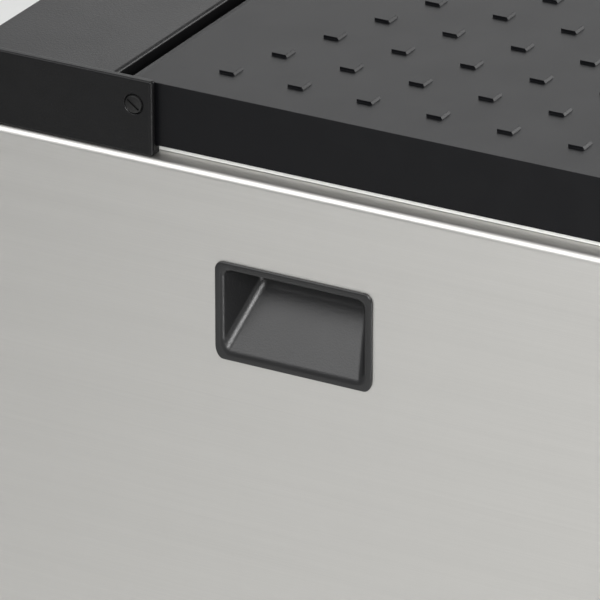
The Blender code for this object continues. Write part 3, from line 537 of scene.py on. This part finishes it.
def makeGripCup(side, sign):
    node = side + "_grip_cup"
    low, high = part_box(node)
    face = max(abs(low[0]), abs(high[0]))
    midY, midZ = (low[1] + high[1]) / 2, (low[2] + high[2]) / 2
    halfY, halfZ = (high[1] - low[1]) / 2, (high[2] - low[2]) / 2
    mouthY, mouthZ = halfY - grip["rim"], halfZ - grip["rim"]
    back = face - grip["proud"] - grip["depth"]
    shape = bmesh.new()
    bmesh.ops.create_cube(shape, size=2.0)
    for vert in shape.verts:
        outside, front, top = vert.co.x > 0, vert.co.y < 0, vert.co.z > 0
        across = mouthY if outside else mouthY - grip["draft"]
        floor = -mouthZ if outside else -mouthZ + grip["rise"]
        roof = mouthZ if outside else mouthZ - grip["roofDrop"]
        vert.co = (face if outside else back, midY + (-across if front else across),
                   midZ + (roof if top else floor))
    mouth = [item for item in shape.faces if all(vert.co.x > face - 1e-4 for vert in item.verts)]
    bmesh.ops.delete(shape, geom=mouth, context="FACES")
    inward = [edge for edge in shape.edges if not edge.is_boundary]
    roundOff(shape, inward, grip["cornerRound"], 8)
    innerLoop = [edge for edge in shape.edges if edge.is_boundary]
    grown = bmesh.ops.extrude_edge_only(shape, edges=innerLoop)["geom"]
    flange = [item for item in grown if isinstance(item, bmesh.types.BMVert)]
    bmesh.ops.translate(shape, vec=(0, -midY, -midZ), verts=flange)
    bmesh.ops.scale(shape, vec=(1, halfY / mouthY, halfZ / mouthZ), verts=flange)
    bmesh.ops.translate(shape, vec=(0, midY, midZ), verts=flange)
    outerLoop = [edge for edge in shape.edges if edge.is_boundary]
    grown = bmesh.ops.extrude_edge_only(shape, edges=outerLoop)["geom"]
    skirt = [item for item in grown if isinstance(item, bmesh.types.BMVert)]
    bmesh.ops.translate(shape, vec=(-grip["proud"] - 0.0002, 0, 0), verts=skirt)
    roundOff(shape, innerLoop, grip["innerFillet"], 5)
    roundOff(shape, [edge for edge in outerLoop if edge.is_valid], grip["outerFillet"], 4)
    bmesh.ops.recalc_face_normals(shape, faces=shape.faces)
    deepest = min(shape.faces, key=lambda item: item.calc_center_median().x)
    if deepest.normal.x < 0:
        bmesh.ops.reverse_faces(shape, faces=shape.faces)
    if sign < 0:
        mirrored(shape)
    piece = addPiece(side + "GripCup", shape, "cabinet", "black_plastic", [node], 60.0, "cup_plastic")
    shell = piece.modifiers.new("cupWall", "SOLIDIFY")
    shell.thickness = grip["wall"]
    shell.offset = -1.0


for side, sign in sides:
    makeGripCup(side, sign)
print("hand grips made")


# hinge screws; the recess round each is cut into the cheeks above

hingeScrew = {"headRadius": 0.0058, "flatShare": 0.86, "dome": 0.0007, "edge": 0.0013, "under": 0.0006,
              "slotHalf": 0.0006, "slotDeep": 0.0011, "slotTurn": 36.0, "shank": 0.003}


def makeHingeScrew(side, sign):
    node = side + "_hinge_screw"
    low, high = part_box(node)
    outer, inner = outerInner(low, high)
    centre = (0, (low[1] + high[1]) / 2, (low[2] + high[2]) / 2)
    radius, flat = hingeScrew["headRadius"], hingeScrew["headRadius"] * hingeScrew["flatShare"]
    under = outer - hingeScrew["edge"] - hingeScrew["under"]
    shape = bmesh.new()
    bmesh.ops.create_circle(shape, cap_ends=True, segments=40, radius=flat)
    for offset in (-hingeScrew["slotHalf"], hingeScrew["slotHalf"]):
        bmesh.ops.bisect_plane(shape, geom=shape.verts[:] + shape.edges[:] + shape.faces[:],
                               plane_co=(0, offset, 0), plane_no=(0, 1, 0))
    middle = [face for face in shape.faces if abs(face.calc_center_median().y) < 1e-5]
    rest = [face for face in shape.faces if face not in middle]
    sunk = bmesh.ops.extrude_discrete_faces(shape, faces=middle)["faces"]
    sunkVerts = list({vert for face in sunk for vert in face.verts})
    bmesh.ops.translate(shape, vec=(0, 0, -hingeScrew["slotDeep"]), verts=sunkVerts)
    turn = Matrix.Rotation(math.radians(90 + hingeScrew["slotTurn"]), 3, "Z")
    bmesh.ops.rotate(shape, cent=(0, 0, 0), matrix=turn, verts=shape.verts)
    bmesh.ops.translate(shape, vec=(0, 0, outer), verts=shape.verts)
    bmesh.ops.recalc_face_normals(shape, faces=rest)
    turnOnLathe(shape, [(flat, outer), (radius * 0.97, outer - hingeScrew["dome"] * 0.45),
                        (radius, outer - hingeScrew["dome"]), (radius, under), (hingeScrew["shank"], under),
                        (hingeScrew["shank"], inner), (0, inner)], (0, 0, 0), "up", 40)
    bmesh.ops.remove_doubles(shape, verts=shape.verts, dist=2e-5)
    bmesh.ops.rotate(shape, cent=(0, 0, 0), matrix=directionTurns["right"], verts=shape.verts)
    if sign < 0:
        mirrored(shape)
    bmesh.ops.translate(shape, vec=centre, verts=shape.verts)
    bmesh.ops.recalc_face_normals(shape, faces=shape.faces)
    addPiece(side + "HingeScrew", shape, nodeBody[node], "black_screw", [node], smoothBelow=30.0)


for side, sign in sides:
    makeHingeScrew(side, sign)
print("hinge screws made")


# drawer handle

handle = {"bend": 0.016, "bendSteps": 12, "around": 28, "collarRadius": 0.0105, "collarLong": 0.004,
          "collarChamfer": 0.001, "collarOverlap": 0.0005}


def makeHandle():
    low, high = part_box("drawer_handle")
    radius = (high[2] - low[2]) / 2
    half, back, barY, z = high[0] - radius, high[1], low[1] + radius, (low[2] + high[2]) / 2
    bend = handle["bend"]
    shape = bmesh.new()
    ring = bmesh.ops.create_circle(shape, cap_ends=False, segments=handle["around"], radius=radius)["verts"]
    bmesh.ops.rotate(shape, cent=(0, 0, 0), matrix=directionTurns["front"], verts=ring)
    bmesh.ops.translate(shape, vec=(-half, back, z), verts=ring)
    loop = edgesBetween(ring)
    quarter = ((0, 0, 1), math.pi / 2, handle["bendSteps"])
    leg = back - barY - bend
    loop = pullEdges(shape, loop, (0, -leg, 0))
    loop = sweepEdges(shape, loop, (-half + bend, barY + bend, z), *quarter)
    loop = pullEdges(shape, loop, (2 * (half - bend), 0, 0))
    loop = sweepEdges(shape, loop, (half - bend, barY + bend, z), *quarter)
    pullEdges(shape, loop, (0, leg, 0))
    bmesh.ops.remove_doubles(shape, verts=shape.verts, dist=1e-6)
    bmesh.ops.holes_fill(shape, edges=[edge for edge in shape.edges if edge.is_boundary], sides=0)
    collar, tall = handle["collarRadius"], handle["collarLong"]
    for sign in (-1, 1):
        turnOnLathe(shape, [(0, 0), (collar, 0), (collar, tall * 0.6),
                            (collar - handle["collarChamfer"], tall),
                            (radius - handle["collarOverlap"], tall), (0, tall)],
                    (sign * half, back, z), "front", handle["around"])
    bmesh.ops.recalc_face_normals(shape, faces=shape.faces)
    addPiece("drawerPull", shape, "drawer", "handle_steel", ["drawer_handle"], smoothBelow=40.0)


makeHandle()
print("handle made")


# console trim and panel screws

trim = {"bezelWide": 0.0026, "bezelProud": 0.0012, "bezelCorner": 0.003, "bezelEdge": 0.0003, "play": 0.0006,
        "ringWide": 0.0018, "ringHigh": 0.0016, "cutPast": 0.01, "sunk": 0.0002}


def makeBezel(node, face):
    # a rounded frame round a push button
    low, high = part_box(node)
    play, grow = trim["play"], trim["play"] + trim["bezelWide"]
    shape, hole = bmesh.new(), bmesh.new()
    verts = addBlock(shape, (low[0] - grow, face - trim["bezelProud"], low[2] - grow),
                     (high[0] + grow, face + trim["sunk"], high[2] + grow))
    roundOff(shape, edgesBetween(verts, runsAlong(1)), trim["bezelCorner"], 5)
    piece = addPiece(node + "Bezel", shape, "cabinet", "handle_steel", smoothBelow=40.0)
    addBlock(hole, (low[0] - play, face - trim["cutPast"], low[2] - play),
             (high[0] + play, face + trim["cutPast"], high[2] + play))
    cutAway(piece, hole)
    addBevel(piece, trim["bezelEdge"])


def makeLampRing(face):
    low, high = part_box("indicator_lamp")
    hub = max(high[0] - low[0], high[2] - low[2]) / 2 + trim["play"]
    wide, tall, sunk = trim["ringWide"], trim["ringHigh"], trim["sunk"]
    shape = bmesh.new()
    turnOnLathe(shape, [(hub, -sunk), (hub, tall - 0.0004), (hub + 0.0006, tall),
                        (hub + wide * 0.7, tall - 0.0003), (hub + wide, sunk), (hub + wide, -sunk)],
                ((low[0] + high[0]) / 2, face, (low[2] + high[2]) / 2), "front", 36, True)
    addPiece("indicator_lampRing", shape, "cabinet", "handle_steel")


panelScrew = {"radius": 0.0042, "high": 0.0011, "inset": 0.013, "rows": 4, "dimple": 0.0007, "sunk": 0.0002}


def makePanelScrews():
    low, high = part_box("rear_panel")
    inset, sunk = panelScrew["inset"], -panelScrew["sunk"]
    step = (high[2] - low[2] - 2 * inset) / (panelScrew["rows"] - 1)
    shape = bmesh.new()
    radius, tall = panelScrew["radius"], panelScrew["high"]
    dimple = tall - panelScrew["dimple"]
    profile = [(0, dimple), (radius * 0.25, dimple), (radius * 0.3, tall), (radius * 0.7, tall * 0.85),
               (radius, tall * 0.35), (radius, sunk), (0, sunk)]
    for x in (low[0] + inset, high[0] - inset):
        for row in range(panelScrew["rows"]):
            turnOnLathe(shape, profile, (x, high[1], low[2] + inset + row * step), "back", 20)
    addPiece("rearPanelScrews", shape, "cabinet", "zinc_steel")


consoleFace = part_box("console_panel")[0][1]
for button in ("start_button", "stop_button"):
    makeBezel(button, consoleFace)
makeLampRing(consoleFace)
makePanelScrews()
print("trim made")


softenNodes(sorted(node for node in nodeBody if node not in replaced))
print("edges softened")


# floor, light and camera

studio = {
    "floorColour": (0.72, 0.72, 0.71),
    "worldColour": (0.80, 0.81, 0.82), "worldStrength": 0.38,
    "target": (-0.18206, 0.06945, 0.74466),
    "azimuth": -61.117, "elevation": 24.532, "distance": 3.996, "lens": 390.9,
}

# name: place, what it points at, side in metres, power in watts
softboxes = {
    "highLeft": ((-1.35, 1.03, 2.10), (-0.19, 0.07, 0.73), 1.2, 17.0),
    "farRight": ((2.40, 1.00, 2.00), (0.0, 0.0, 0.87), 1.6, 11.0),
    "nearCorner": ((-1.00, -0.45, 1.40), (-0.19, -0.20, 0.80), 0.45, 16.0),
    "floorGlow": ((-2.40, 0.50, 0.70), (-2.40, 0.55, 0.0), 0.8, 15.0),
    "lowCorner": ((-0.85, -1.05, 0.24), (-0.19, 0.17, 0.84), 0.3, 4.0),
    "overhead": ((-0.45, 0.95, 2.55), (-0.10, 0.05, 0.75), 1.3, 5.0),
    "fillFront": ((2.05, -1.65, 1.55), (0.0, -0.20, 0.75), 1.2, 40.0),
    "fillBack": ((1.4, 2.6, 1.6), (0.0, 0.3, 0.5), 1.6, 30.0),
}


def addFloor():
    shape = bmesh.new()
    bmesh.ops.create_grid(shape, x_segments=2, y_segments=2, size=40.0)
    mesh = bpy.data.meshes.new("studioFloor")
    shape.to_mesh(mesh)
    shape.free()
    floor = bpy.data.objects.new("studioFloor", mesh)
    bpy.context.scene.collection.objects.link(floor)
    material, tree, shader, vector = startMaterial("floorPaint", 0.0, 0.6)
    cloud = addNode(tree, "ShaderNodeTexNoise", None, Vector=vector, Scale=1.5, Detail=6.0)
    colour = studio["floorColour"]
    tint = mixColour(tree, cloud.outputs[0], shadeOf(colour, 0.98), shadeOf(colour, 1.02))
    tree.links.new(tint, shader.inputs["Base Color"])
    mesh.materials.append(material)


def addLights():
    for name, (place, target, side, power) in softboxes.items():
        light = bpy.data.lights.new(name, "AREA")
        light.shape = "SQUARE"
        light.size = side
        light.energy = power
        lamp = bpy.data.objects.new(name, light)
        lamp.location = place
        lamp.rotation_euler = (Vector(target) - Vector(place)).to_track_quat("-Z", "Y").to_euler()
        lamp.visible_camera = False
        bpy.context.scene.collection.objects.link(lamp)
    world = bpy.data.worlds.new("studioWorld")
    world.use_nodes = True
    background = world.node_tree.nodes["Background"]
    background.inputs["Color"].default_value = (*studio["worldColour"], 1.0)
    background.inputs["Strength"].default_value = studio["worldStrength"]
    bpy.context.scene.world = world
    bpy.context.scene.view_settings.view_transform = "Standard"


def addCamera():
    turn, rise = math.radians(studio["azimuth"]), math.radians(studio["elevation"])
    back = Vector((math.sin(turn) * math.cos(rise), -math.cos(turn) * math.cos(rise), math.sin(rise)))
    data = bpy.data.cameras.new("studioCamera")
    data.lens = studio["lens"]
    data.clip_start = 0.1
    data.clip_end = 100.0
    camera = bpy.data.objects.new("studioCamera", data)
    camera.location = Vector(studio["target"]) + back * studio["distance"]
    camera.rotation_euler = (-back).to_track_quat("-Z", "Y").to_euler()
    bpy.context.scene.collection.objects.link(camera)
    bpy.context.scene.camera = camera


addFloor()
addLights()
addCamera()
print("studio ready")
